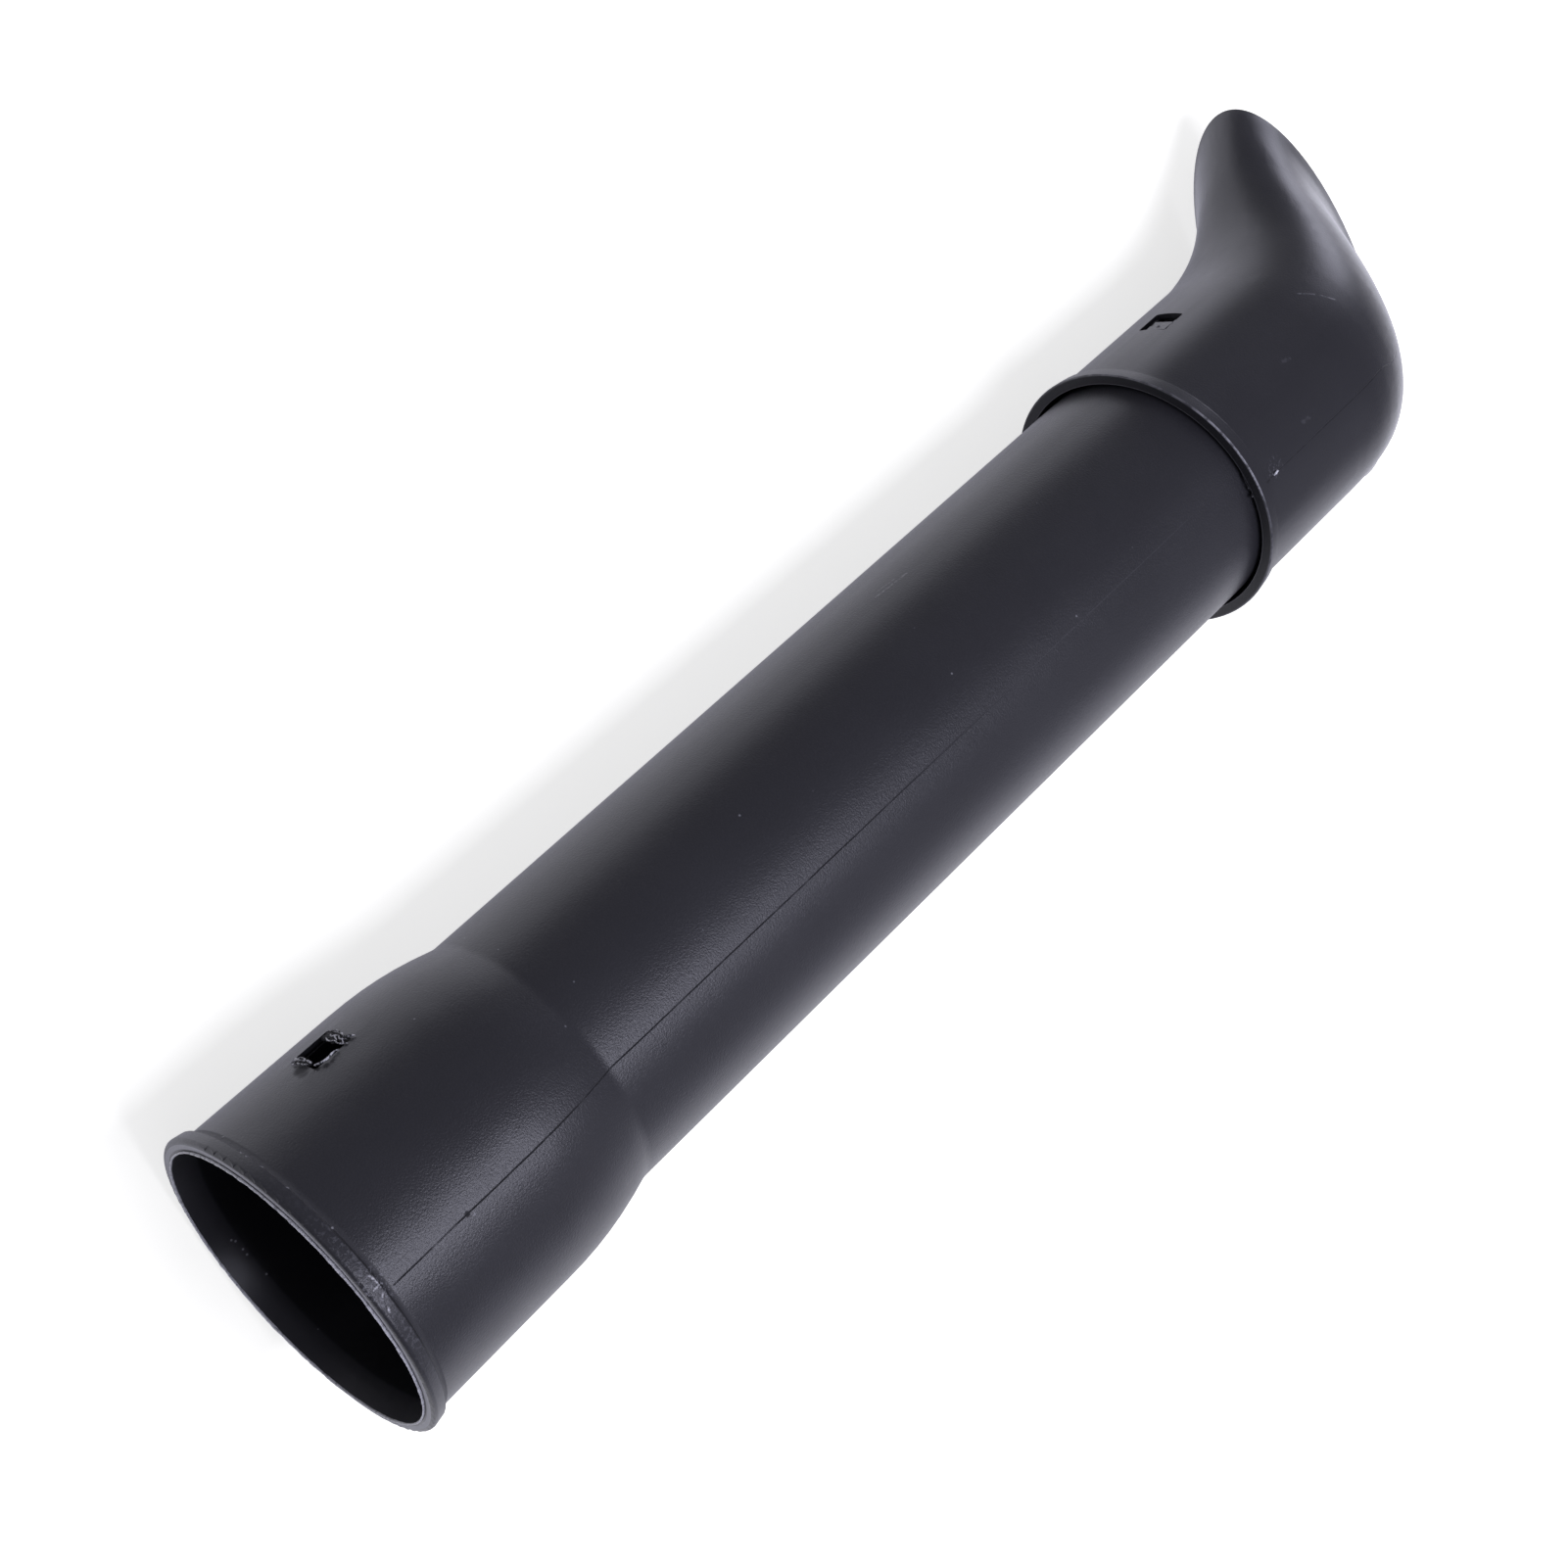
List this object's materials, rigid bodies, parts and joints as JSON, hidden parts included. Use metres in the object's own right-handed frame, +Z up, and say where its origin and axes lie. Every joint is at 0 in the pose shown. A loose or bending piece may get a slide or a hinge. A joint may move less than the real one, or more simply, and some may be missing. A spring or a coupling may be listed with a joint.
{
  "type": "leaf blower nozzle tube",
  "caption": "Straight air tube with a flared socket at one end and a bent, flat, flared nozzle latched over the other; it carries the air of a hand-held leaf blower.",
  "frame": {"origin": "on the tube's axis, where the straight wall of the socket begins, behind its lip and lead-in", "axes": "+X along the tube from the socket to the nozzle, +Y towards the latch windows, +Z up as the part lies on the socket's lip and the lower edge of the nozzle's mouth"},
  "size_m": [0.4875, 0.1412, 0.0948],
  "materials": {
    "tube_plastic": "black, finely grained as moulded, slightly scuffed",
    "nozzle_plastic": "black, finely grained as moulded, slightly scuffed"
  },
  "bodies": {
    "root": {"blower_tube": "tube_plastic", "bent_nozzle": "nozzle_plastic"}
  },
  "joints": []
}
